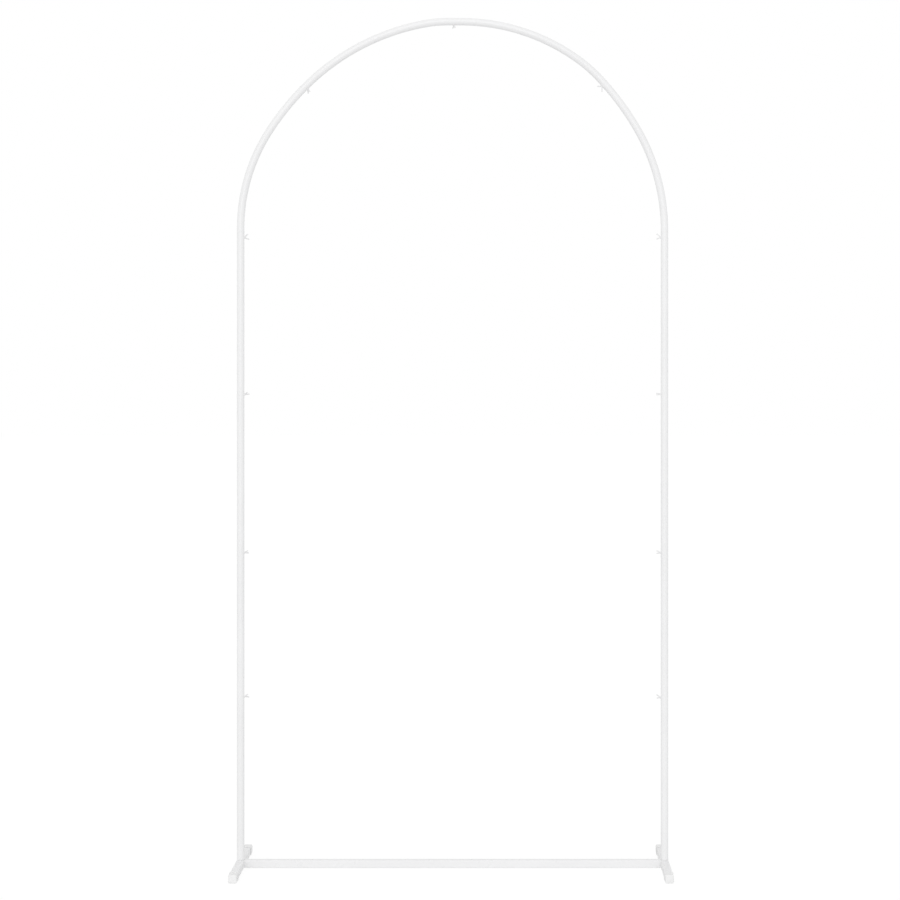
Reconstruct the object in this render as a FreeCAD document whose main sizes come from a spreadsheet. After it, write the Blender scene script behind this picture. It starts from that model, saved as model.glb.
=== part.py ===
import FreeCAD
import Part
import Sketcher
import math
import os

# A free-standing wedding arch of round steel tube on two square feet.
# X runs from the left post to the right one, -Y is the front and Z is up.
# The origin is on the floor, half way between the posts.

Vector = FreeCAD.Vector
QUARTER_TURN = 90.0
HALF_TURN = 180.0
FULL_TURN = 360.0
SAME_PLACE = 0.001

# Driving dimensions, in millimetres and degrees.
SIZES = {
    # Round tube of the posts and the arch
    "post_spacing": 996.0,
    "tube_diameter": 17.4,
    "tube_wall": 1.0,
    "lower_post_length": 737.0,
    "upper_post_length": 737.0,
    "edge_break": 0.4,
    # Reduced ends that slip into the next tube
    "post_socket_depth": 40.0,
    "crown_socket_depth": 28.0,
    "slip_clearance": 0.3,
    "socket_end_gap": 2.0,
    "neck_taper": 3.0,
    "end_land": 4.0,
    # Square tube of the feet and the base bar
    "square_width": 18.0,
    "square_wall": 1.0,
    "square_corner": 2.0,
    "foot_length": 328.0,
    # Slip-on end caps: a thin sleeve with a thick collar at its mouth and a rounded end
    "cap_length": 33.0,
    "cap_wall": 0.9,
    "cap_corner": 3.5,
    "cap_end": 3.0,
    "cap_end_radius": 2.8,
    "cap_collar_wall": 1.5,
    "cap_collar_length": 3.5,
    "cap_collar_radius": 0.4,
    # Pegs that carry the posts and the base bar
    "foot_spigot_height": 60.0,
    "bar_spigot_length": 35.0,
    "spigot_wall": 1.2,
    # Left bend, from the post to the crown; its hook stands where the middle arc ends
    "left_straight": 6.0,
    "left_low_radius": 420.0,
    "left_low_angle": 33.6,
    "left_middle_radius": 654.0,
    "left_middle_angle": 11.4,
    "left_upper_angle": 35.0,
    "left_crown_radius": 275.0,
    "crown_joint_offset": 10.0,
    # Right bend, from the post to the crown; its hook stands where the middle arc ends
    "right_low_angle": 30.3,
    "right_middle_radius": 650.0,
    "right_middle_angle": 13.2,
    "right_upper_radius": 338.0,
    "right_upper_angle": 10.5,
    # Hooks of bent wire
    "wire_diameter": 3.0,
    "prong_length": 10.5,
    "prong_half_angle": 42.0,
    "wire_bend_radius": 2.6,
    "tip_chamfer": 0.6,
    "weld_radius": 2.4,
    "weld_root": 1.5,
    "weld_height": 1.3,
    "weld_gap": 0.15,
    "top_hook_drop": 14.0,
    "upper_hook_drop": 381.0,
    "lower_hook_drop": 355.0,
    "crown_hook_offset": 13.0,
}

# How far each hook is rolled about its own stem, and how far it leans along the tube.
HOOK_TURNS = {
    "left_hook_1": (10.0, -11.0),
    "left_hook_2": (35.0, 15.0),
    "left_hook_3": (60.0, 0.0),
    "left_hook_4": (20.0, -3.0),
    "right_hook_1": (30.0, 0.0),
    "right_hook_2": (80.0, 0.0),
    "right_hook_3": (48.0, -8.0),
    "right_hook_4": (55.0, -4.0),
    "left_bend_hook": (78.0, 0.0),
    "right_bend_hook": (0.0, 8.0),
    "crown_hook": (70.0, 0.0),
}
for hook_label, (roll_angle, lean_angle) in HOOK_TURNS.items():
    SIZES[hook_label + "_roll"] = roll_angle
    SIZES[hook_label + "_lean"] = lean_angle


class Term:
    """A number together with the sheet expression that gives it."""

    def __init__(self, value, text):
        self.value = float(value)
        self.text = text

    def __add__(self, other):
        other = as_term(other)
        return Term(self.value + other.value, "(%s + %s)" % (self.text, other.text))

    def __sub__(self, other):
        other = as_term(other)
        return Term(self.value - other.value, "(%s - %s)" % (self.text, other.text))

    def __mul__(self, other):
        other = as_term(other)
        return Term(self.value * other.value, "(%s * %s)" % (self.text, other.text))

    def __truediv__(self, other):
        other = as_term(other)
        return Term(self.value / other.value, "(%s / %s)" % (self.text, other.text))

    def __rsub__(self, other):
        return as_term(other) - self

    def __radd__(self, other):
        return as_term(other) + self

    def __neg__(self):
        return as_term(0) - self


def as_term(item):
    """The item itself if it is a term, or a plain number as a term."""
    return item if isinstance(item, Term) else Term(item, "%r" % float(item))


def size(alias):
    """The driving dimension of that name."""
    return Term(SIZES[alias], "Sizes." + alias)


def sine(angle):
    return Term(math.sin(math.radians(angle.value)), "sin(%s)" % angle.text)


def cosine(angle):
    return Term(math.cos(math.radians(angle.value)), "cos(%s)" % angle.text)


doc = FreeCAD.newDocument("WeddingArch")
sheet = doc.addObject("Spreadsheet::Sheet", "Sizes")
for row, (alias, number) in enumerate(SIZES.items(), start=1):
    sheet.set("A%d" % row, alias)
    sheet.set("B%d" % row, str(number))
    sheet.setAlias("B%d" % row, alias)
doc.recompute()

parts = []


# Derived sizes

tube_outer = size("tube_diameter") / 2
tube_inner = tube_outer - size("tube_wall")
neck_outer = tube_inner - size("slip_clearance")
neck_inner = neck_outer - size("tube_wall")
half_span = size("post_spacing") / 2
half_square = size("square_width") / 2
foot_centre_z = size("cap_collar_wall") + half_square
foot_top_z = foot_centre_z + half_square
joint_z = foot_top_z + size("lower_post_length")
spring_z = joint_z + size("upper_post_length")

# The bends are chains of four tangent arcs, drawn from the spring level.
# The left upper radius and the right low and crown radii are what closes the chains.
left_low = size("left_low_angle")
left_hook_turn = left_low + size("left_middle_angle")
left_turn = left_hook_turn + size("left_upper_angle")
left_hook_reach = (
    size("left_low_radius") * (1 - cosine(left_low))
    + size("left_middle_radius") * (cosine(left_low) - cosine(left_hook_turn))
)
left_hook_rise = (
    size("end_land")
    + size("left_straight")
    + size("left_low_radius") * sine(left_low)
    + size("left_middle_radius") * (sine(left_hook_turn) - sine(left_low))
)
left_upper_radius = (
    half_span - size("crown_joint_offset") - size("end_land") - left_hook_reach
    - size("left_crown_radius") * cosine(left_turn)
) / (cosine(left_hook_turn) - cosine(left_turn))
crown_rise = (
    left_hook_rise
    + left_upper_radius * (sine(left_turn) - sine(left_hook_turn))
    + size("left_crown_radius") * (1 - sine(left_turn))
)
crown_straight = size("crown_socket_depth") + size("socket_end_gap")

right_low = size("right_low_angle")
right_hook_turn = right_low + size("right_middle_angle")
right_turn = right_hook_turn + size("right_upper_angle")
right_middle_reach = size("right_middle_radius") * (cosine(right_low) - cosine(right_hook_turn))
right_middle_rise = size("right_middle_radius") * (sine(right_hook_turn) - sine(right_low))
right_reach = (
    half_span + size("crown_joint_offset") - crown_straight - right_middle_reach
    - size("right_upper_radius") * (cosine(right_hook_turn) - cosine(right_turn))
)
right_rise = (
    crown_rise - size("end_land") - right_middle_rise
    - size("right_upper_radius") * (sine(right_turn) - sine(right_hook_turn))
)
right_divisor = (1 - cosine(right_low)) * (1 - sine(right_turn)) - sine(right_low) * cosine(right_turn)
right_low_radius = (right_reach * (1 - sine(right_turn)) - right_rise * cosine(right_turn)) / right_divisor
right_crown_radius = (right_rise * (1 - cosine(right_low)) - right_reach * sine(right_low)) / right_divisor


# Drawing helpers

def bind(item, path, value):
    """Set a property of the item from a term, or from a plain number."""
    item.setExpression(path, as_term(value).text)


def place(item, x=0, y=0, z=0):
    """Put a finished sub-part at a point of the assembly."""
    for axis, value in zip("xyz", (x, y, z)):
        bind(item, "Placement.Base." + axis, value)


def new_body(label):
    body = doc.addObject("PartDesign::Body", label)
    body.Label = label
    return body


def new_sketch(body, plane, x=0, y=0, turn=0):
    """A sketch on one of the body's own planes, moved and turned within that plane."""
    sketch = body.newObject("Sketcher::SketchObject", body.Name + "_sketch")
    support = [item for item in body.Origin.OriginFeatures if item.Role == plane]
    sketch.AttachmentSupport = [(support[0], "")]
    sketch.MapMode = "FlatFace"
    rotation = FreeCAD.Rotation(Vector(0, 0, 1), as_term(turn).value)
    sketch.AttachmentOffset = FreeCAD.Placement(Vector(), rotation)
    bind(sketch, "AttachmentOffset.Base.x", x)
    bind(sketch, "AttachmentOffset.Base.y", y)
    return sketch


def fix(sketch, kind, *args):
    """Add a constraint; its last argument is a term or a number."""
    value = as_term(args[-1])
    number = math.radians(value.value) if kind == "Angle" else value.value
    index = sketch.addConstraint(Sketcher.Constraint(kind, *args[:-1], number))
    bind(sketch, "Constraints[%d]" % index, value)


def fix_point(sketch, item, point, x, y):
    """Hold one point of an item at x, y of the sketch."""
    fix(sketch, "DistanceX", -1, 1, item, point, x)
    fix(sketch, "DistanceY", -1, 1, item, point, y)


def draw_polygon(sketch, corners):
    """Closed outline of straight lines through the corners."""
    flat = [Vector(as_term(x).value, as_term(y).value, 0) for x, y in corners]
    lines = []
    for index, start in enumerate(flat):
        end = flat[(index + 1) % len(flat)]
        lines.append(sketch.addGeometry(Part.LineSegment(start, end), False))
    for index, line in enumerate(lines):
        following = lines[(index + 1) % len(lines)]
        sketch.addConstraint(Sketcher.Constraint("Coincident", line, 2, following, 1))
        fix_point(sketch, line, 1, *corners[index])


def draw_circle(sketch, radius, x=0, y=0):
    centre = Vector(as_term(x).value, as_term(y).value, 0)
    circle = sketch.addGeometry(Part.Circle(centre, Vector(0, 0, 1), radius.value), False)
    fix_point(sketch, circle, 3, x, y)
    fix(sketch, "Radius", circle, radius)


def draw_rounded_square(sketch, width, corner):
    """Square of that width about the sketch's origin, with round corners."""
    inset = width / 2 - corner
    reach = width.value / 2
    flat = inset.value
    arcs = []
    for step in range(4):
        quarter = math.pi / 2
        side_x, side_y = ((1, 1), (-1, 1), (-1, -1), (1, -1))[step]
        circle = Part.Circle(Vector(side_x * flat, side_y * flat, 0), Vector(0, 0, 1), corner.value)
        arc = sketch.addGeometry(Part.ArcOfCircle(circle, step * quarter, (step + 1) * quarter), False)
        fix_point(sketch, arc, 3, inset * side_x, inset * side_y)
        fix(sketch, "Radius", arc, corner)
        arcs.append(arc)
    sides = (
        (Vector(flat, reach, 0), Vector(-flat, reach, 0)),
        (Vector(-reach, flat, 0), Vector(-reach, -flat, 0)),
        (Vector(-flat, -reach, 0), Vector(flat, -reach, 0)),
        (Vector(reach, -flat, 0), Vector(reach, flat, 0)),
    )
    for step, (start, end) in enumerate(sides):
        line = sketch.addGeometry(Part.LineSegment(start, end), False)
        sketch.addConstraint(Sketcher.Constraint("Tangent", arcs[step], 2, line, 1))
        sketch.addConstraint(Sketcher.Constraint("Tangent", line, 2, arcs[(step + 1) % 4], 1))


def draw_chain(sketch, start_x, start_y, side, steps):
    """Open line that sets out upwards and bends towards the middle.

    side is 1 for a chain that bends to the right and -1 for one that bends to the left.
    Each step is ("line", length) or ("arc", radius, turn).
    """
    x, y = as_term(start_x), as_term(start_y)
    turned = as_term(0)
    previous = None
    for step in steps:
        here = Vector(x.value, y.value, 0)
        if step[0] == "line":
            x = x + sine(turned) * step[1] * side
            y = y + cosine(turned) * step[1]
            item = sketch.addGeometry(Part.LineSegment(here, Vector(x.value, y.value, 0)), False)
            join(sketch, previous, item, 1, start_x, start_y)
            fix_point(sketch, item, 2, x, y)
            previous = (item, 2)
        else:
            radius, turn = step[1:]
            centre_x = x + cosine(turned) * radius * side
            centre_y = y - sine(turned) * radius
            circle = Part.Circle(Vector(centre_x.value, centre_y.value, 0), Vector(0, 0, 1), radius.value)
            before = math.radians(turned.value)
            turned = turned + turn
            after = math.radians(turned.value)
            # An arc runs anticlockwise, so a chain that bends to the right enters it at its last point.
            span = (math.pi - after, math.pi - before) if side > 0 else (before, after)
            item = sketch.addGeometry(Part.ArcOfCircle(circle, *span), False)
            join(sketch, previous, item, 2 if side > 0 else 1, start_x, start_y)
            fix_point(sketch, item, 3, centre_x, centre_y)
            fix(sketch, "Angle", item, turn)
            x = centre_x - cosine(turned) * radius * side
            y = centre_y + sine(turned) * radius
            previous = (item, 1 if side > 0 else 2)


def join(sketch, previous, item, point, start_x, start_y):
    """Tie an item's first point to the end of the one before, or to the chain's start."""
    if previous is None:
        fix_point(sketch, item, point, start_x, start_y)
    else:
        sketch.addConstraint(Sketcher.Constraint("Coincident", previous[0], previous[1], item, point))


def pad(body, sketch, length, both_ways=False, backwards=False):
    feature = body.newObject("PartDesign::Pad", body.Name + "_pad")
    feature.Profile = sketch
    feature.SideType = "Symmetric" if both_ways else "One side"
    feature.Reversed = backwards
    bind(feature, "Length", length)
    return feature


def revolve(body, sketch):
    """Turn a profile once round the sketch's own vertical axis."""
    feature = body.newObject("PartDesign::Revolution", body.Name + "_turned")
    feature.Profile = sketch
    feature.ReferenceAxis = (sketch, ["V_Axis"])
    feature.Angle = FULL_TURN
    return feature


def pipe(body, section, spine):
    feature = body.newObject("PartDesign::AdditivePipe", body.Name + "_pipe")
    feature.Profile = section
    feature.Spine = (spine, [])
    return feature


# Half sections of tubes, along the vertical axis of their sketch

def plain_start():
    """The inner and outer corners of an open end at 0."""
    return [(tube_inner, 0), (tube_outer - size("edge_break"), 0), (tube_outer, size("edge_break"))]


def swaged_start(depth):
    """The corners of an end at 0 that is drawn down to a neck, which reaches down to minus the depth."""
    return [
        (tube_inner, size("neck_taper")),
        (neck_inner, 0),
        (neck_inner, -depth),
        (neck_outer, -depth),
        (neck_outer, 0),
        (tube_outer - size("edge_break"), 0),
        (tube_outer, size("edge_break")),
    ]


def open_finish(length):
    """The corners of an open end with a broken edge, at the length."""
    return [
        (tube_outer, length - size("edge_break")),
        (tube_outer - size("edge_break"), length),
        (tube_inner, length),
    ]


def flush_finish(length):
    """The corners of a square cut at the length, where the tube runs on."""
    return [(tube_outer, length), (tube_inner, length)]


# Feet, caps and pegs

def make_foot(label, side):
    """Square tube that runs from front to back under a post."""
    body = new_body(label)
    sketch = new_sketch(body, "XZ_Plane")
    draw_rounded_square(sketch, size("square_width"), size("square_corner"))
    draw_rounded_square(
        sketch,
        size("square_width") - size("square_wall") * 2,
        size("square_corner") - size("square_wall"),
    )
    pad(body, sketch, size("foot_length"), both_ways=True)
    place(body, x=half_span * side, z=foot_centre_z)
    parts.append(body)


def make_cap(label, side, end):
    """Moulded cap that slips over one end of a foot; end is -1 at the front and 1 at the back."""
    body = new_body(label)
    sleeve_width = size("square_width") + size("cap_wall") * 2
    sleeve_length = size("cap_length") - size("cap_end")
    sleeve = new_sketch(body, "XZ_Plane")
    draw_rounded_square(sleeve, sleeve_width, size("cap_corner"))
    draw_rounded_square(sleeve, size("square_width"), size("square_corner"))
    pad(body, sleeve, sleeve_length, backwards=end < 0)
    collar = new_sketch(body, "XZ_Plane")
    bind(collar, "AttachmentOffset.Base.z", (sleeve_length - size("cap_collar_length")) * end)
    draw_rounded_square(collar, size("square_width") + size("cap_collar_wall") * 2, size("cap_corner"))
    draw_rounded_square(collar, size("square_width"), size("square_corner"))
    pad(body, collar, size("cap_collar_length"), backwards=end < 0)
    face = new_sketch(body, "XZ_Plane")
    draw_rounded_square(face, sleeve_width, size("cap_corner"))
    plate = pad(body, face, size("cap_end"), backwards=end > 0)
    doc.recompute()
    nose = round_outline(body, plate, [size("cap_end") * end], half_square, size("cap_end_radius"))
    doc.recompute()
    mouth = -sleeve_length * end
    collar_edges = [mouth, mouth + size("cap_collar_length") * end]
    round_outline(body, nose, collar_edges, half_square + size("cap_wall"), size("cap_collar_radius"))
    place(body, x=half_span * side, y=size("foot_length") / 2 * end, z=foot_centre_z)
    parts.append(body)


def round_outline(body, base, levels, inside, radius):
    """Round the edges that lie at the given places along Y and reach out beyond the inside."""
    edges = []
    for number, edge in enumerate(base.Shape.Edges, start=1):
        box = edge.BoundBox
        reach = max(-box.XMin, box.XMax, -box.ZMin, box.ZMax)
        misses = [abs(box.YMin - level.value) + abs(box.YMax - level.value) for level in levels]
        if min(misses) < SAME_PLACE and reach > inside.value + SAME_PLACE:
            edges.append("Edge%d" % number)
    rounding = body.newObject("PartDesign::Fillet", body.Name + "_rounding")
    rounding.Base = (base, edges)
    bind(rounding, "Radius", radius)
    return rounding


def make_foot_spigot(label, side):
    """Round peg on top of a foot, over which the lower post slips."""
    body = new_body(label)
    sketch = new_sketch(body, "XY_Plane")
    draw_circle(sketch, neck_outer)
    draw_circle(sketch, neck_outer - size("spigot_wall"))
    pad(body, sketch, size("foot_spigot_height"))
    place(body, x=half_span * side, z=foot_top_z)
    parts.append(body)


def make_bar_spigot(label, side):
    """Square peg on the inner side of a foot, inside the end of the base bar."""
    body = new_body(label)
    width = size("square_width") - size("square_wall") * 2 - size("slip_clearance") * 2
    corner = size("square_corner") - size("square_wall")
    sketch = new_sketch(body, "YZ_Plane")
    draw_rounded_square(sketch, width, corner)
    draw_circle(sketch, width / 2 - size("spigot_wall"))
    pad(body, sketch, size("bar_spigot_length"), backwards=side > 0)
    place(body, x=(half_span - half_square) * side, z=foot_centre_z)
    parts.append(body)


def make_base_bar():
    """Square tube between the inner sides of the feet."""
    body = new_body("base_bar")
    sketch = new_sketch(body, "YZ_Plane")
    draw_rounded_square(sketch, size("square_width"), size("square_corner"))
    draw_rounded_square(
        sketch,
        size("square_width") - size("square_wall") * 2,
        size("square_corner") - size("square_wall"),
    )
    pad(body, sketch, size("post_spacing") - size("square_width"), both_ways=True)
    place(body, z=foot_centre_z)
    parts.append(body)


# Posts

def make_post(label, side, bottom, profile):
    """Straight tube, turned from its half section."""
    body = new_body(label)
    sketch = new_sketch(body, "XZ_Plane")
    draw_polygon(sketch, profile)
    revolve(body, sketch)
    place(body, x=half_span * side, z=bottom)
    parts.append(body)


# The two quarters of the arch

def make_bend(label, side, steps, crown_turn, crown_start):
    """Bent tube from the top of a post to the joint beside the crown."""
    body = new_body(label)
    land = size("end_land")
    start = half_span * side
    section = new_sketch(body, "XY_Plane")
    draw_circle(section, tube_outer, x=start)
    draw_circle(section, tube_inner, x=start)
    bind(section, "AttachmentOffset.Base.z", land)
    spine = new_sketch(body, "XZ_Plane")
    draw_chain(spine, start, land, -side, steps)
    pipe(body, section, spine)
    foot_end = new_sketch(body, "XZ_Plane", x=start)
    draw_polygon(foot_end, swaged_start(size("post_socket_depth")) + flush_finish(land))
    revolve(body, foot_end)
    crown_end = new_sketch(body, "XZ_Plane", x=-size("crown_joint_offset"), y=crown_rise, turn=crown_turn)
    draw_polygon(crown_end, crown_start + flush_finish(land))
    revolve(body, crown_end)
    place(body, z=spring_z)
    parts.append(body)


# Hooks

def draw_wire(sketch, centre_x, bend, half_angle):
    """Centre line of a fork: a prong, the bend at the tube and the other prong, opening along X."""
    tangent_x = centre_x - bend * sine(half_angle)
    tangent_y = bend * cosine(half_angle)
    tip_x = tangent_x + size("prong_length") * cosine(half_angle)
    tip_y = tangent_y + size("prong_length") * sine(half_angle)
    corners = [Vector(tip_x.value, -tip_y.value, 0), Vector(tangent_x.value, -tangent_y.value, 0)]
    low = sketch.addGeometry(Part.LineSegment(*corners), False)
    circle = Part.Circle(Vector(centre_x.value, 0, 0), Vector(0, 0, 1), bend.value)
    sweep = math.radians(QUARTER_TURN - half_angle.value)
    arc = sketch.addGeometry(Part.ArcOfCircle(circle, math.pi - sweep, math.pi + sweep), False)
    corners = [Vector(tangent_x.value, tangent_y.value, 0), Vector(tip_x.value, tip_y.value, 0)]
    high = sketch.addGeometry(Part.LineSegment(*corners), False)
    fix_point(sketch, low, 1, tip_x, -tip_y)
    fix_point(sketch, low, 2, tangent_x, -tangent_y)
    sketch.addConstraint(Sketcher.Constraint("Coincident", low, 2, arc, 2))
    fix_point(sketch, arc, 3, centre_x, 0)
    fix(sketch, "Angle", arc, HALF_TURN - half_angle * 2)
    sketch.addConstraint(Sketcher.Constraint("Coincident", arc, 1, high, 1))
    fix_point(sketch, high, 2, tip_x, tip_y)
    return tip_x, tip_y


def make_hook(label, x, z, heading):
    """Fork of bent wire, welded to the inner side of a tube whose centre line passes through x, z.

    heading is the pitch that turns the fork from the right to the way that it points.
    """
    wire = size("wire_diameter") / 2
    bend = size("wire_bend_radius")
    half_angle = size("prong_half_angle")
    body = new_body(label + "_wire")

    # The stem lies along X, out of the tube's centre, and the bend's outer side rests on the tube.
    spine = new_sketch(body, "XZ_Plane")
    tip_x, tip_y = draw_wire(spine, tube_outer + wire + bend, bend, half_angle)
    section = new_sketch(body, "XY_Plane", x=tip_x)
    tilt = half_angle - QUARTER_TURN
    section.AttachmentOffset = FreeCAD.Placement(Vector(), FreeCAD.Rotation(Vector(0, 1, 0), tilt.value))
    bind(section, "AttachmentOffset.Base.z", -tip_y)
    bind(section, "AttachmentOffset.Rotation.Angle", tilt)
    draw_circle(section, wire)
    fork = pipe(body, section, spine)
    doc.recompute()
    tips = [
        "Edge%d" % number
        for number, edge in enumerate(fork.Shape.Edges, start=1)
        if edge.isClosed() and edge.CenterOfMass.x > (tip_x - wire).value
    ]
    chamfer = body.newObject("PartDesign::Chamfer", label + "_tips")
    chamfer.Base = (fork, tips)
    bind(chamfer, "Size", size("tip_chamfer"))

    weld = new_sketch(body, "YZ_Plane")
    bind(weld, "AttachmentOffset.Base.z", tube_outer - size("weld_root"))
    draw_circle(weld, size("weld_radius"))
    pad(body, weld, size("weld_root") + size("weld_height"))
    bind(body, "Placement.Rotation", Term(0, "rotation(0; %s; %s)" % (
        size(label + "_lean").text, size(label + "_roll").text)))

    # The tube's own surface shapes the foot of the weld.
    saddle = doc.addObject("Part::Cylinder", label + "_saddle")
    bind(saddle, "Radius", tube_outer + size("weld_gap"))
    bind(saddle, "Height", size("tube_diameter") * 2)
    bind(saddle, "Placement.Base.z", -size("tube_diameter"))
    hook = doc.addObject("Part::Cut", label)
    hook.Base = body
    hook.Tool = saddle
    place(hook, x=x, z=z)
    bind(hook, "Placement.Rotation", Term(0, "rotation(0; %s; 0)" % as_term(heading).text))
    parts.append(hook)


def make_post_hooks(side_name, side):
    """Four hooks down a post, counted from the top, which point inwards."""
    heights = (
        spring_z - size("top_hook_drop"),
        spring_z - size("upper_hook_drop"),
        joint_z - size("top_hook_drop"),
        joint_z - size("lower_hook_drop"),
    )
    heading = 0 if side < 0 else HALF_TURN
    for number, height in enumerate(heights, start=1):
        make_hook("%s_hook_%d" % (side_name, number), half_span * side, height, heading)


def make_arch_hooks():
    """One hook half way up each bend and one beside the crown joint."""
    make_hook(
        "left_bend_hook",
        left_hook_reach - half_span,
        spring_z + left_hook_rise,
        left_hook_turn,
    )
    make_hook(
        "right_bend_hook",
        half_span - right_low_radius * (1 - cosine(right_low)) - right_middle_reach,
        spring_z + size("end_land") + right_low_radius * sine(right_low) + right_middle_rise,
        HALF_TURN - right_hook_turn,
    )
    make_hook(
        "crown_hook",
        size("crown_hook_offset") - size("crown_joint_offset"),
        spring_z + crown_rise,
        QUARTER_TURN,
    )


# The whole arch

make_base_bar()
for side_name, side in (("left", -1), ("right", 1)):
    make_foot(side_name + "_foot", side)
    make_cap(side_name + "_front_cap", side, -1)
    make_cap(side_name + "_rear_cap", side, 1)
    make_foot_spigot(side_name + "_foot_spigot", side)
    make_bar_spigot(side_name + "_bar_spigot", side)
    make_post(
        side_name + "_lower_post", side, foot_top_z,
        plain_start() + open_finish(size("lower_post_length")),
    )
    make_post(
        side_name + "_upper_post", side, joint_z,
        swaged_start(size("post_socket_depth")) + open_finish(size("upper_post_length")),
    )
    make_post_hooks(side_name, side)

make_bend(
    "left_arch_bend",
    -1,
    [
        ("line", size("left_straight")),
        ("arc", size("left_low_radius"), size("left_low_angle")),
        ("arc", size("left_middle_radius"), size("left_middle_angle")),
        ("arc", left_upper_radius, size("left_upper_angle")),
        ("arc", size("left_crown_radius"), QUARTER_TURN - left_turn),
    ],
    QUARTER_TURN,
    swaged_start(size("crown_socket_depth")),
)
make_bend(
    "right_arch_bend",
    1,
    [
        ("arc", right_low_radius, size("right_low_angle")),
        ("arc", size("right_middle_radius"), size("right_middle_angle")),
        ("arc", size("right_upper_radius"), size("right_upper_angle")),
        ("arc", right_crown_radius, QUARTER_TURN - right_turn),
        ("line", crown_straight - size("end_land")),
    ],
    -QUARTER_TURN,
    plain_start(),
)
make_arch_hooks()

doc.recompute()
for item in doc.Objects:
    if "Invalid" in item.State or "Error" in item.State:
        raise RuntimeError("%s did not build: %s" % (item.Name, item.State))
for item in parts:
    if item.Shape.isNull() or not item.Shape.isValid():
        raise RuntimeError(item.Label + " has no valid shape")

os.makedirs("parts", exist_ok=True)
for item in parts:
    item.Shape.exportStep("parts/%s.step" % item.Label)
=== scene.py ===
import math
from collections import namedtuple

import bmesh
import bpy
from mathutils import Matrix, Vector


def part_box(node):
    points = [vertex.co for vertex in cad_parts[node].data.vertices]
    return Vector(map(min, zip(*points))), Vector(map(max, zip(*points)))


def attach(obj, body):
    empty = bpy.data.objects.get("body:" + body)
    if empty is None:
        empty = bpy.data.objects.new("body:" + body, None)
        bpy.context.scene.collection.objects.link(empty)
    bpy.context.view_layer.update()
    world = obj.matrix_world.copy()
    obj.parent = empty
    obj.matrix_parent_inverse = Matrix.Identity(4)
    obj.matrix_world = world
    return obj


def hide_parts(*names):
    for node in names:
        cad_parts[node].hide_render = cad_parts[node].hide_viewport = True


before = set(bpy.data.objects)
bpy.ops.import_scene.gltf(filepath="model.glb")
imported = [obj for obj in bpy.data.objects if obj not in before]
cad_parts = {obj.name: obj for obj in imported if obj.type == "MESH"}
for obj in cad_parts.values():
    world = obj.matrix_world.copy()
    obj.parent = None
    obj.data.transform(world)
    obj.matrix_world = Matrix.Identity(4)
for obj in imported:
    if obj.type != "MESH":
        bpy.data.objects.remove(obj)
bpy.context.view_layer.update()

# A free-standing wedding arch of white powder-coated steel tube, in metres.
# X runs from the left post to the right one, -Y is the front and Z is up.

MM = 0.001

# Camera: level, on the photograph's own eye point. Its view is measured in the plane of the arch.

EYE = Vector((0.117, -5.4, 1.196))
VIEW_WIDTH = 2.115
VIEW_CENTRE_X = -0.006
VIEW_CENTRE_Z = 0.9818
SENSOR_WIDTH = 36.0


def make_camera():
    data = bpy.data.cameras.new("camera")
    data.sensor_width = SENSOR_WIDTH
    data.lens = SENSOR_WIDTH * -EYE.y / VIEW_WIDTH
    data.shift_x = (VIEW_CENTRE_X - EYE.x) / VIEW_WIDTH
    data.shift_y = (VIEW_CENTRE_Z - EYE.z) / VIEW_WIDTH
    camera = bpy.data.objects.new("camera", data)
    camera.location = EYE
    camera.rotation_euler = (math.radians(90), 0, 0)
    bpy.context.scene.collection.objects.link(camera)
    bpy.context.scene.camera = camera


# Materials

# Nearly all of a noise lies between these two values.
NOISE_LOW = 0.3
NOISE_HIGH = 0.7


class Shader:
    """A new material whose nodes are added one after another."""

    def __init__(self, name):
        self.material = bpy.data.materials.new(name)
        self.material.use_nodes = True
        self.tree = self.material.node_tree
        self.bsdf = self.tree.nodes["Principled BSDF"]
        self.place = self.tree.nodes.new("ShaderNodeTexCoord").outputs["Object"]

    def link(self, start, end):
        self.tree.links.new(start, end)

    def fix(self, socket, number):
        """Give the whole surface one value."""
        self.bsdf.inputs[socket].default_value = number

    def vary(self, socket, value):
        """Let a node's value drive one of the surface's sockets."""
        self.link(value, self.bsdf.inputs[socket])

    def noise(self, scale, detail=2.0):
        """Soft noise with about `scale` patches to the metre."""
        node = self.tree.nodes.new("ShaderNodeTexNoise")
        node.inputs["Scale"].default_value = scale
        node.inputs["Detail"].default_value = detail
        self.link(self.place, node.inputs["Vector"])
        return node.outputs["Fac"]

    def spread(self, noise, low, high):
        """The noise as a number from low to high."""
        node = self.tree.nodes.new("ShaderNodeMapRange")
        self.link(noise, node.inputs["Value"])
        ends = {"From Min": NOISE_LOW, "From Max": NOISE_HIGH, "To Min": low, "To Max": high}
        for socket, number in ends.items():
            node.inputs[socket].default_value = number
        return node.outputs["Result"]

    def blend(self, factor, dark, light):
        """A colour between two others."""
        node = self.tree.nodes.new("ShaderNodeMix")
        node.data_type = "RGBA"
        node.inputs["A"].default_value = (*dark, 1)
        node.inputs["B"].default_value = (*light, 1)
        self.link(factor, node.inputs["Factor"])
        return node.outputs["Result"]

    def tone(self, noise, dark, light):
        """Let the surface's colour drift between dark and light."""
        self.vary("Base Color", self.blend(self.spread(noise, 0, 1), dark, light))

    def relief(self, noise, rise, under=None):
        """The noise as a relief of that rise in metres, laid on another one or on the bare surface."""
        node = self.tree.nodes.new("ShaderNodeBump")
        node.inputs["Strength"].default_value = 1.0
        node.inputs["Distance"].default_value = rise
        self.link(noise, node.inputs["Height"])
        if under is not None:
            self.link(under, node.inputs["Normal"])
        return node.outputs["Normal"]


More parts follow.
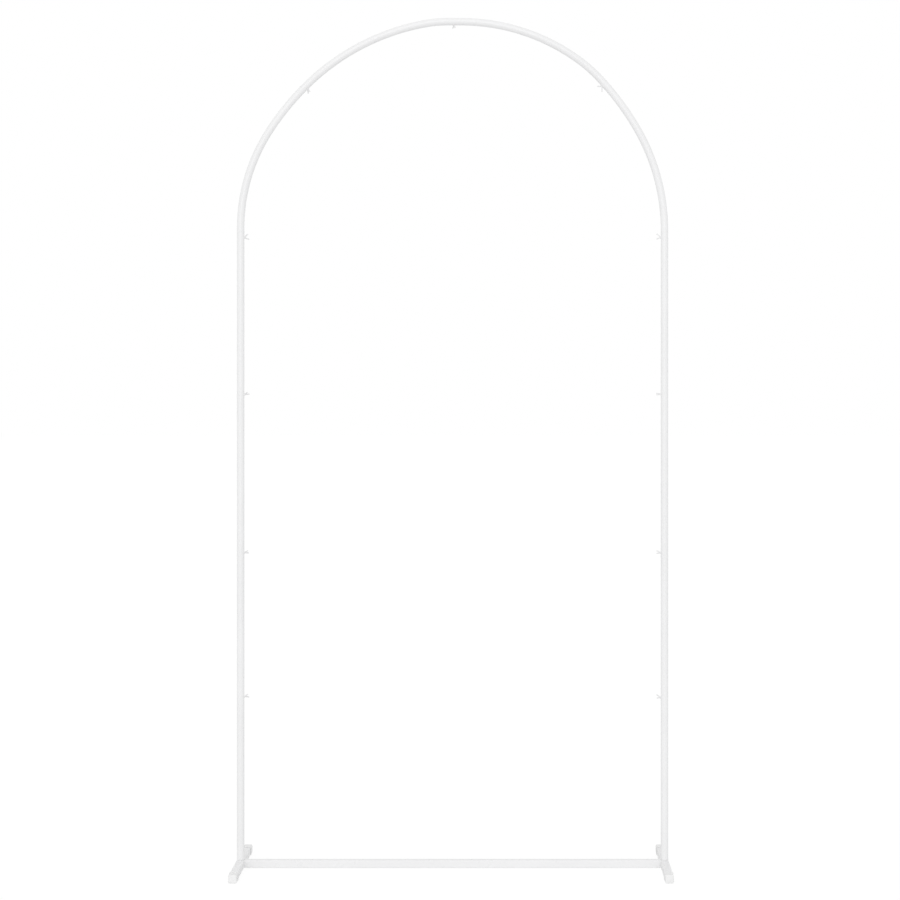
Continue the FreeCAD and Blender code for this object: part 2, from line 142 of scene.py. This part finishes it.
def powder_coat(name, dark, light, smooth, rough):
    """Satin white powder coat: a fine orange peel, with soft changes of tone and gloss."""
    shader = Shader(name)
    shader.tone(shader.noise(scale=9.0, detail=3.0), dark, light)
    shader.vary("Roughness", shader.spread(shader.noise(scale=60.0, detail=3.0), smooth, rough))
    peel = shader.relief(shader.noise(scale=900.0, detail=1.0), rise=0.13 * MM)
    grain = shader.relief(shader.noise(scale=2600.0, detail=1.0), rise=0.02 * MM, under=peel)
    shader.vary("Normal", grain)
    return shader.material


def moulded_plastic(name, dark, light, smooth, rough):
    """Matt white moulded plastic with a fine sparked texture."""
    shader = Shader(name)
    shader.tone(shader.noise(scale=40.0, detail=3.0), dark, light)
    shader.vary("Roughness", shader.spread(shader.noise(scale=150.0), smooth, rough))
    shader.vary("Normal", shader.relief(shader.noise(scale=1800.0), rise=0.03 * MM))
    return shader.material


def bare_steel(name, dark, light, smooth, rough):
    """Plain drawn steel, for what is inside the tubes."""
    shader = Shader(name)
    shader.fix("Metallic", 1.0)
    shader.tone(shader.noise(scale=90.0, detail=3.0), dark, light)
    shader.vary("Roughness", shader.spread(shader.noise(scale=300.0), smooth, rough))
    shader.vary("Normal", shader.relief(shader.noise(scale=1500.0), rise=0.01 * MM))
    return shader.material


WHITE = powder_coat("white_powder_coat", dark=(0.875, 0.875, 0.88), light=(0.90, 0.90, 0.905),
                    smooth=0.26, rough=0.36)
HOOK_WHITE = powder_coat("hook_powder_coat", dark=(0.85, 0.85, 0.855), light=(0.88, 0.88, 0.885),
                         smooth=0.3, rough=0.42)
CAP_WHITE = moulded_plastic("white_cap_plastic", dark=(0.875, 0.875, 0.875), light=(0.90, 0.90, 0.90),
                            smooth=0.42, rough=0.52)
STEEL = bare_steel("bare_steel", dark=(0.38, 0.38, 0.39), light=(0.52, 0.52, 0.53),
                   smooth=0.3, rough=0.45)


def material_for(node):
    if node.endswith("_cap"):
        return CAP_WHITE
    if node.endswith("_spigot"):
        return STEEL
    return HOOK_WHITE if "hook" in node else WHITE


for cad_node, cad_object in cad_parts.items():
    cad_object.data.materials.clear()
    cad_object.data.materials.append(material_for(cad_node))


# What all the new pieces share. Each is made in millimetres near the origin, then put in its place in metres.

X, Y, Z = range(3)


def span(node, axis):
    """Middle and half length of a CAD piece along an axis, in millimetres."""
    low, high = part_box(node)
    middle = (low[axis] + high[axis]) / 2
    half = (high[axis] - low[axis]) / 2
    return round(middle / MM, 2), round(half / MM, 2)


def join_rings(shape, rings):
    """A skin over rings of as many points each, closed at both ends."""
    for ring, following in zip(rings, rings[1:]):
        for step in range(len(ring)):
            ahead = (step + 1) % len(ring)
            shape.faces.new((ring[step], ring[ahead], following[ahead], following[step]))
    shape.faces.new(list(reversed(rings[0])))
    shape.faces.new(rings[-1])
    bmesh.ops.recalc_face_normals(shape, faces=shape.faces)


def add_piece(name, mesh, node):
    """Show the mesh, now in metres, in place of a CAD node and in that node's material."""
    for face in mesh.polygons:
        face.use_smooth = True
    mesh.materials.clear()
    mesh.materials.append(material_for(node))
    piece = bpy.data.objects.new(name, mesh)
    bpy.context.scene.collection.objects.link(piece)
    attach(piece, "root")
    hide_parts(node)
    return piece


# Hooks: forks of bent wire in a lump of weld, on the inner side of the tube. Lengths are in millimetres and
# turns in radians. In a hook's own frame the tube's centre line is the Z axis, X runs out from it through the
# weld, and the fork lies in the XZ plane.

POST_X, TUBE_RADIUS = span("right_lower_post", X)
WIRE_RADIUS = 1.5
WIRE_SIDES = 24
WIRE_BEND = 2.6
BEND_CENTRE = TUBE_RADIUS + WIRE_RADIUS + WIRE_BEND
BEND_STEPS = 16
PRONG_ANGLE = math.radians(42)
PRONG_STEPS = 12
TIP_ROUNDING = 0.55
TIP_TURNS = (0.5, 1.0, 1.4)

# A weld is one flat pool with drops round it, whose reach and size change from drop to drop.
POOL_RISE = 0.2
POOL_RADII = (1.9, 2.7, 3.5)
DROP_COUNT = 5
DROP_RISE = 0.1
DROP_REACH = 1.5
DROP_REACH_CHANGE = 0.4
DROP_REACH_TURN = 2.1
DROP_RADIUS = 1.4
DROP_RADIUS_CHANGE = 0.25
DROP_RADIUS_TURN = 1.7
WELD_STRETCH = 1.5
BALL_DIVISIONS = 3
GOLDEN_TURN = math.radians(137.5)

# One skin covers wire and weld, and is seated a little inside the tube.
SKIN_CELL = 0.27
SOFTENING = 0.5
SOFTENING_ROUNDS = 4
SEAT_DEPTH = 0.15

# X and Z are those of the tube's centre line at the weld. The heading is the way that the hook points, from 0
# to the right, over 90 down, to 180 to the left. From there the fork rolls about its own stem, swings to the
# front or back and leans along the tube. All four are in degrees.
Hook = namedtuple("Hook", "node x z heading roll swing lean prong_length")
HOOKS = (
    Hook("left_hook_1", -POST_X, 1480.8, heading=0, roll=47, swing=4, lean=-14, prong_length=10.0),
    Hook("left_hook_2", -POST_X, 1112.4, heading=0, roll=73, swing=-4, lean=-17, prong_length=10.5),
    Hook("left_hook_3", -POST_X, 740.9, heading=0, roll=66, swing=3, lean=-10, prong_length=9.5),
    Hook("left_hook_4", -POST_X, 403.0, heading=0, roll=60, swing=0, lean=-9, prong_length=10.0),
    Hook("right_hook_1", POST_X, 1481.8, heading=180, roll=43, swing=-8, lean=11, prong_length=10.5),
    Hook("right_hook_2", POST_X, 1113.2, heading=180, roll=78, swing=2, lean=2, prong_length=10.0),
    Hook("right_hook_3", POST_X, 740.2, heading=180, roll=72, swing=-1, lean=13, prong_length=10.0),
    Hook("right_hook_4", POST_X, 400.6, heading=180, roll=71, swing=-4, lean=14, prong_length=10.0),
    Hook("left_bend_hook", -346.2, 1835.8, heading=45, roll=66, swing=-5, lean=24, prong_length=8.5),
    Hook("right_bend_hook", 357.7, 1842.2, heading=138.4, roll=-14, swing=-24, lean=-8, prong_length=10.0),
    Hook("crown_hook", 3.4, 1989.2, heading=90, roll=62, swing=0, lean=0, prong_length=7.0),
)


def prong_stations(sign, length):
    """Centre, direction and radius of the rings of the upper (1) or lower (-1) prong, from bend to tip."""
    along = Vector((math.cos(PRONG_ANGLE), 0, sign * math.sin(PRONG_ANGLE)))
    start = Vector((BEND_CENTRE, 0, 0)) + WIRE_BEND * Vector((-along.z * sign, 0, along.x * sign))
    straight = length - TIP_ROUNDING
    stations = [
        (start + along * straight * step / PRONG_STEPS, along, WIRE_RADIUS)
        for step in range(PRONG_STEPS + 1)
    ]
    for turn in TIP_TURNS:
        reach = straight + TIP_ROUNDING * math.sin(turn)
        radius = WIRE_RADIUS - TIP_ROUNDING * (1 - math.cos(turn))
        stations.append((start + along * reach, along, radius))
    return stations


def wire_stations(length):
    """The rings of the whole wire, from the lower tip to the upper one."""
    lower = [(centre, -along, radius) for centre, along, radius in reversed(prong_stations(-1, length))]
    bend = []
    for step in range(1, BEND_STEPS):
        turn = -math.pi / 2 + PRONG_ANGLE + (math.pi - 2 * PRONG_ANGLE) * step / BEND_STEPS
        centre = Vector((BEND_CENTRE - WIRE_BEND * math.cos(turn), 0, WIRE_BEND * math.sin(turn)))
        bend.append((centre, Vector((math.sin(turn), 0, math.cos(turn))), WIRE_RADIUS))
    return lower + bend + prong_stations(1, length)


def add_wire(shape, length):
    """Sweep the round wire along its stations."""
    across = Vector((0, 1, 0))
    turns = [math.tau * step / WIRE_SIDES for step in range(WIRE_SIDES)]
    rings = []
    for centre, along, radius in wire_stations(length):
        side = along.cross(across)
        rings.append([
            shape.verts.new(centre + radius * (math.cos(turn) * across + math.sin(turn) * side))
            for turn in turns
        ])
    join_rings(shape, rings)


def add_weld(shape, number):
    """The lump of weld over the back of the wire's bend, which differs a little from hook to hook."""
    start = GOLDEN_TURN * number
    lumps = [((TUBE_RADIUS + POOL_RISE, 0, 0), POOL_RADII)]
    for step in range(DROP_COUNT):
        turn = start + math.tau * step / DROP_COUNT
        reach = DROP_REACH + DROP_REACH_CHANGE * math.sin(start + DROP_REACH_TURN * step)
        radius = DROP_RADIUS + DROP_RADIUS_CHANGE * math.cos(2 * start + DROP_RADIUS_TURN * step)
        y = reach * math.cos(turn)
        z = WELD_STRETCH * reach * math.sin(turn)
        lumps.append(((TUBE_RADIUS + DROP_RISE, y, z), (radius, radius, radius)))
    for centre, radii in lumps:
        matrix = Matrix.Translation(centre) @ Matrix.Diagonal((*radii, 1))
        bmesh.ops.create_icosphere(shape, subdivisions=BALL_DIVISIONS, radius=1, matrix=matrix)


def fused(shape):
    """One closed skin over all the overlapping forms, with its creases softened."""
    rough_mesh = bpy.data.meshes.new("rough")
    shape.to_mesh(rough_mesh)
    rough = bpy.data.objects.new("rough", rough_mesh)
    bpy.context.scene.collection.objects.link(rough)
    skin = rough.modifiers.new("skin", "REMESH")
    skin.mode = "VOXEL"
    skin.voxel_size = SKIN_CELL
    soften = rough.modifiers.new("soften", "SMOOTH")
    soften.factor = SOFTENING
    soften.iterations = SOFTENING_ROUNDS
    evaluated = rough.evaluated_get(bpy.context.evaluated_depsgraph_get())
    mesh = bpy.data.meshes.new_from_object(evaluated)
    bpy.data.objects.remove(rough)
    bpy.data.meshes.remove(rough_mesh)
    return mesh


def turned(axis, degrees):
    return Matrix.Rotation(math.radians(degrees), 4, axis)


def seat_on_tube(mesh):
    """Push what lies deeper in the tube out to just under its surface, which the weld's foot then follows."""
    seat = TUBE_RADIUS - SEAT_DEPTH
    for vertex in mesh.vertices:
        reach = math.hypot(vertex.co.x, vertex.co.y)
        if reach < seat:
            vertex.co.x *= seat / reach
            vertex.co.y *= seat / reach


def make_hook(number, hook):
    shape = bmesh.new()
    add_wire(shape, hook.prong_length)
    add_weld(shape, number)
    mesh = fused(shape)
    shape.free()
    weld = Vector((TUBE_RADIUS, 0, 0))
    turn = turned("Y", hook.lean) @ turned("Z", hook.swing) @ turned("X", hook.roll)
    mesh.transform(Matrix.Translation(weld) @ turn @ Matrix.Translation(-weld))
    seat_on_tube(mesh)
    to_place = Matrix.Translation((hook.x, 0, hook.z))
    mesh.transform(Matrix.Scale(MM, 4) @ to_place @ turned("Y", hook.heading))
    add_piece(hook.node + "_wire", mesh, hook.node)


for hook_number, hook in enumerate(HOOKS):
    make_hook(hook_number, hook)


# Caps: moulded ends that slip over the square tube of the feet. Lengths are in millimetres, and a HALF is
# half the width of a square section.

FOOT_CENTRE_Z, FOOT_HALF = span("right_foot", Z)
FOOT_HALF_LENGTH = span("right_foot", Y)[1]
FOOT_CORNER = 2.0
CAP_CENTRE_Y, CAP_HALF_LENGTH = span("right_rear_cap", Y)
CAP_LENGTH = 2 * CAP_HALF_LENGTH
CAP_GAP = 0.02
CAP_CORNER = 3.5
MOUTH_Y = CAP_CENTRE_Y - CAP_HALF_LENGTH
SLEEVE_LENGTH = FOOT_HALF_LENGTH - MOUTH_Y
SLEEVE_HALF = 9.9
LEAD_IN = 0.45
COLLAR_LENGTH = 3.5
COLLAR_HALF = span("right_rear_cap", X)[1]
COLLAR_ROUNDING = 0.4
COLLAR_FILLET = 0.1
NOSE_DRAFT = 0.08
NOSE_ROUNDING = 2.8
NOSE_CROWN = 0.3
# Both flat ends, the bottom inside and the crown outside, are closed by smaller and smaller rings.
BOTTOM_SHARES = (0.08, 0.5)
CROWN_SHARES = (0.8, 0.6, 0.4, 0.2, 0.05)
CORNER_STEPS = 8
ROUNDING_STEPS = 6


def rounding(reach, half, corner, radius, start, end):
    """Stations round an edge that faces along the cap at 0 degrees, across it at 90 and back at 180."""
    stations = []
    for step in range(ROUNDING_STEPS + 1):
        angle = math.radians(start + (end - start) * step / ROUNDING_STEPS)
        shrink = radius * (1 - math.sin(angle))
        stations.append((reach + radius * math.cos(angle), half - shrink, corner - shrink))
    return stations


def cap_stations():
    """Reach from the mouth, half width and corner radius of each ring, from the bottom inside to the nose."""
    inner_half = FOOT_HALF + CAP_GAP
    inner_corner = FOOT_CORNER + CAP_GAP
    stations = [(SLEEVE_LENGTH, inner_half * share, inner_corner * share) for share in BOTTOM_SHARES]
    stations.append((SLEEVE_LENGTH, inner_half, inner_corner))
    stations.append((LEAD_IN, inner_half, inner_corner))
    stations.append((0, inner_half + LEAD_IN, inner_corner + LEAD_IN))

    stations += rounding(COLLAR_ROUNDING, COLLAR_HALF, CAP_CORNER, COLLAR_ROUNDING, 180, 90)
    back = COLLAR_LENGTH - COLLAR_ROUNDING
    stations += rounding(back, COLLAR_HALF, CAP_CORNER, COLLAR_ROUNDING, 90, 0)
    stations.append((COLLAR_LENGTH, SLEEVE_HALF + COLLAR_FILLET, CAP_CORNER))
    stations.append((COLLAR_LENGTH + COLLAR_FILLET, SLEEVE_HALF, CAP_CORNER))

    rim = CAP_LENGTH - NOSE_CROWN
    nose_half = SLEEVE_HALF - NOSE_DRAFT
    stations += rounding(rim - NOSE_ROUNDING, nose_half, CAP_CORNER, NOSE_ROUNDING, 90, 0)
    flat_half = nose_half - NOSE_ROUNDING
    flat_corner = CAP_CORNER - NOSE_ROUNDING
    for share in CROWN_SHARES:
        stations.append((rim + NOSE_CROWN * (1 - share ** 2), flat_half * share, flat_corner * share))
    return stations


def square_ring(shape, y, half, corner):
    """A square with rounded corners across the cap."""
    ring = []
    for quarter in range(4):
        side_x = 1 if quarter in (0, 3) else -1
        side_z = 1 if quarter in (0, 1) else -1
        for step in range(CORNER_STEPS + 1):
            angle = math.radians(90 * (quarter + step / CORNER_STEPS))
            x = side_x * (half - corner) + corner * math.cos(angle)
            z = side_z * (half - corner) + corner * math.sin(angle)
            ring.append(shape.verts.new((x, y, z)))
    return ring


def make_cap(node, side, end):
    shape = bmesh.new()
    join_rings(shape, [
        square_ring(shape, end * (MOUTH_Y + reach), half, corner)
        for reach, half, corner in cap_stations()
    ])
    mesh = bpy.data.meshes.new(node + "_moulding")
    shape.to_mesh(mesh)
    shape.free()
    mesh.transform(Matrix.Scale(MM, 4) @ Matrix.Translation((side * POST_X, 0, FOOT_CENTRE_Z)))
    piece = add_piece(node + "_moulding", mesh, node)
    piece.modifiers.new("flat_sides", "WEIGHTED_NORMAL")


for side_name, side in (("left", -1), ("right", 1)):
    make_cap(side_name + "_front_cap", side, -1)
    make_cap(side_name + "_rear_cap", side, 1)


# Floor, backdrop and light

WHITE_LIGHT = (1, 1, 1, 1)
# Strengths of the light that falls from all sides and of the white backdrop in reflections
FILL = 0.81
REFLECTED_WHITE = 0.9

FLOOR_HALF = 30.0
FLOOR_CELLS = 8
FLOOR_DARK = (0.86, 0.86, 0.86)
FLOOR_LIGHT = (0.88, 0.88, 0.88)
FLOOR_ROUGHNESS = 0.9
FLOOR_GLOSS = 0.1
# The floor is partly a light table, so that it looks white and still keeps a soft share of the object's
# shadow. A share is how much of it glows, and the values that end in SEEN are those that the camera sees.
GLOW = 0.8
GLOW_SHARE = 0.6
GLOW_SEEN = 1.07
GLOW_SHARE_SEEN = 0.8


def number_by_ray(tree, chosen, usual, special):
    """The usual number, or the special one for the chosen rays."""
    node = tree.nodes.new("ShaderNodeMapRange")
    tree.links.new(chosen, node.inputs["Value"])
    node.inputs["To Min"].default_value = usual
    node.inputs["To Max"].default_value = special
    return node.outputs["Result"]


def show_mix(tree, share, first, second, output):
    """Mix two shaders, with that share of the second one, and send the mix to the output."""
    mix = tree.nodes.new("ShaderNodeMixShader")
    tree.links.new(share, mix.inputs["Fac"])
    tree.links.new(first, mix.inputs[1])
    tree.links.new(second, mix.inputs[2])
    tree.links.new(mix.outputs["Shader"], tree.nodes[output].inputs["Surface"])


def floor_material():
    shader = Shader("white_floor")
    shader.fix("Roughness", FLOOR_ROUGHNESS)
    shader.fix("Specular IOR Level", FLOOR_GLOSS)
    shader.vary("Base Color", shader.blend(shader.noise(scale=3.0), FLOOR_DARK, FLOOR_LIGHT))
    tree = shader.tree
    seen = tree.nodes.new("ShaderNodeLightPath").outputs["Is Camera Ray"]
    glow = tree.nodes.new("ShaderNodeEmission")
    shader.link(number_by_ray(tree, seen, GLOW, GLOW_SEEN), glow.inputs["Strength"])
    share = number_by_ray(tree, seen, GLOW_SHARE, GLOW_SHARE_SEEN)
    show_mix(tree, share, shader.bsdf.outputs["BSDF"], glow.outputs["Emission"], "Material Output")
    return shader.material


def make_floor():
    mesh = bpy.data.meshes.new("floor")
    shape = bmesh.new()
    bmesh.ops.create_grid(shape, x_segments=FLOOR_CELLS, y_segments=FLOOR_CELLS, size=FLOOR_HALF)
    shape.to_mesh(mesh)
    shape.free()
    mesh.materials.append(floor_material())
    floor = bpy.data.objects.new("floor", mesh)
    bpy.context.scene.collection.objects.link(floor)


def make_world():
    """Even studio light. Where the camera or a reflection sees past the object there is white."""
    world = bpy.data.worlds.new("studio")
    bpy.context.scene.world = world
    world.use_nodes = True
    tree = world.node_tree
    fill = tree.nodes["Background"]
    fill.inputs["Color"].default_value = WHITE_LIGHT
    fill.inputs["Strength"].default_value = FILL
    white = tree.nodes.new("ShaderNodeBackground")
    white.inputs["Color"].default_value = WHITE_LIGHT
    path = tree.nodes.new("ShaderNodeLightPath")
    seen = path.outputs["Is Camera Ray"]
    tree.links.new(number_by_ray(tree, seen, REFLECTED_WHITE, 1.0), white.inputs["Strength"])
    for ray in ("Is Glossy Ray", "Is Transmission Ray"):
        either = tree.nodes.new("ShaderNodeMath")
        either.operation = "MAXIMUM"
        tree.links.new(seen, either.inputs[0])
        tree.links.new(path.outputs[ray], either.inputs[1])
        seen = either.outputs["Value"]
    show_mix(tree, seen, fill.outputs["Background"], white.outputs["Background"], "World Output")


def make_lamp(name, azimuth, elevation, spread, strength):
    """A wide soft light from far away. Azimuth 0 shines from the front and 90 from the right."""
    data = bpy.data.lights.new(name, "SUN")
    data.angle = math.radians(spread)
    data.energy = strength
    lamp = bpy.data.objects.new(name, data)
    turn = math.radians(azimuth)
    rise = math.radians(elevation)
    toward = Vector((math.sin(turn) * math.cos(rise), -math.cos(turn) * math.cos(rise), math.sin(rise)))
    lamp.rotation_euler = toward.to_track_quat("Z", "Y").to_euler()
    bpy.context.scene.collection.objects.link(lamp)


make_camera()
make_floor()
make_world()
make_lamp("key", azimuth=-6, elevation=20, spread=48, strength=0.65)

bpy.context.scene.view_settings.view_transform = "Standard"
